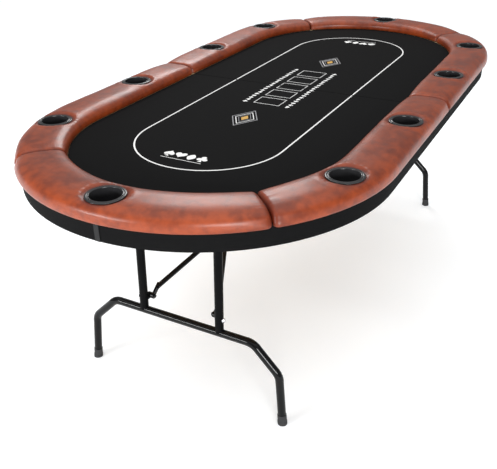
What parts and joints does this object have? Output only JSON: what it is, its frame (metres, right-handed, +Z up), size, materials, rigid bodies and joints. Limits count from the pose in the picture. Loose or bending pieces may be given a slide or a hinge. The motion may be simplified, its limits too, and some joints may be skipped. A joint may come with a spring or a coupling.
{
  "type": "folding poker table",
  "caption": "Racetrack card table that folds across the middle, with a padded leather rail, drop-in cup holders, a black cloth top and braced wishbone legs.",
  "frame": {"origin": "on the floor under the middle of the fold line", "axes": "+X along the table from the near half to the far half, +Y across it, +Z up"},
  "size_m": [2.134, 1.067, 0.762],
  "materials": {
    "leather": "semi-gloss reddish brown padded vinyl leather",
    "cloth": "matt black speed cloth with a white printed betting line, card boxes and ornaments",
    "apron_vinyl": "black woven covering with a low sheen",
    "seam_trim": "dark grey cover strip",
    "cup_plastic": "glossy black moulded cup holder",
    "plywood": "bare board, only seen from below",
    "timber": "bare softwood, only seen from below",
    "black_tube": "glossy black powder coat",
    "post_paint": "satin black powder coat",
    "bracket_steel": "dark grey pressed steel",
    "zinc_steel": "bright zinc plate",
    "foot_rubber": "dark grey rubber"
  },
  "bodies": {
    "near_half": {"board_near": "plywood", "rail_base_near": "plywood", "cloth_near": "cloth", "rail_end_near": "leather", "rail_right_near": "leather", "rail_left_near": "leather", "cups_near": "cup_plastic", "apron_near": "apron_vinyl", "seam_strip_near": "seam_trim", "cross_rail_near": "timber", "battens_near": "timber", "pivot_brackets_near": "bracket_steel", "brace_bracket_near": "bracket_steel", "hinge_leaves_near": "zinc_steel", "screws_near": "zinc_steel", "bolt_guides": "bracket_steel"},
    "far_half": {"board_far": "plywood", "rail_base_far": "plywood", "cloth_far": "cloth", "rail_end_far": "leather", "rail_right_far": "leather", "rail_left_far": "leather", "cups_far": "cup_plastic", "apron_far": "apron_vinyl", "seam_strip_far": "seam_trim", "cross_rail_far": "timber", "battens_far": "timber", "pivot_brackets_far": "bracket_steel", "brace_bracket_far": "bracket_steel", "hinge_leaves_far": "zinc_steel", "screws_far": "zinc_steel", "bolt_keepers": "bracket_steel"},
    "centre_link": {"hinge_links": "zinc_steel"},
    "right_bolt": {"slide_bolt_right": "zinc_steel"},
    "left_bolt": {"slide_bolt_left": "zinc_steel"},
    "near_leg": {"pivot_rod_near": "black_tube", "post_right_near": "post_paint", "post_left_near": "post_paint", "foot_bar_near": "black_tube", "foot_caps_near": "foot_rubber", "post_bolts_near": "zinc_steel"},
    "near_link": {"upper_link_near": "black_tube"},
    "near_brace": {"v_brace_near": "black_tube", "elbow_pin_near": "zinc_steel"},
    "far_leg": {"pivot_rod_far": "black_tube", "post_right_far": "post_paint", "post_left_far": "post_paint", "foot_bar_far": "black_tube", "foot_caps_far": "foot_rubber", "post_bolts_far": "zinc_steel"},
    "far_link": {"upper_link_far": "black_tube"},
    "far_brace": {"v_brace_far": "black_tube", "elbow_pin_far": "zinc_steel"}
  },
  "joints": [
    {"name": "near_fold", "type": "hinge", "parent": "near_half", "child": "centre_link", "pos_m": [-0.008, 0, 0.661], "axis": [0, 1, 0], "range_deg": [0, 90]},
    {"name": "far_fold", "type": "hinge", "parent": "centre_link", "child": "far_half", "pos_m": [0.008, 0, 0.661], "axis": [0, 1, 0], "range_deg": [0, 90]},
    {"name": "near_leg_fold", "type": "hinge", "parent": "near_half", "child": "near_leg", "pos_m": [-0.73199, 0, 0.675], "axis": [0, -1, 0], "range_deg": [0, 92.8]},
    {"name": "near_link_swing", "type": "hinge", "parent": "near_half", "child": "near_link", "pos_m": [-0.34835, 0, 0.6955], "axis": [0, -1, 0], "range_deg": [0, 112.78]},
    {"name": "near_elbow", "type": "hinge", "parent": "near_link", "child": "near_brace", "pos_m": [-0.46544, 0, 0.41672], "axis": [0, 1, 0], "range_deg": [0, 136.78]},
    {"name": "far_leg_fold", "type": "hinge", "parent": "far_half", "child": "far_leg", "pos_m": [0.73199, 0, 0.675], "axis": [0, 1, 0], "range_deg": [0, 92.8]},
    {"name": "far_link_swing", "type": "hinge", "parent": "far_half", "child": "far_link", "pos_m": [0.34835, 0, 0.6955], "axis": [0, 1, 0], "range_deg": [0, 112.78]},
    {"name": "far_elbow", "type": "hinge", "parent": "far_link", "child": "far_brace", "pos_m": [0.46544, 0, 0.41672], "axis": [0, -1, 0], "range_deg": [0, 136.78]},
    {"name": "right_bolt_slide", "type": "slide", "parent": "near_half", "child": "right_bolt", "axis": [1, 0, 0], "range_m": [0, 0.034]},
    {"name": "left_bolt_slide", "type": "slide", "parent": "near_half", "child": "left_bolt", "axis": [1, 0, 0], "range_m": [0, 0.034]}
  ],
  "couplings": [
    {"joint": "near_link_swing", "follows": "near_leg_fold", "ratio": 1.2153},
    {"joint": "near_elbow", "follows": "near_leg_fold", "ratio": 1.474},
    {"joint": "far_link_swing", "follows": "far_leg_fold", "ratio": 1.2153},
    {"joint": "far_elbow", "follows": "far_leg_fold", "ratio": 1.474}
  ]
}
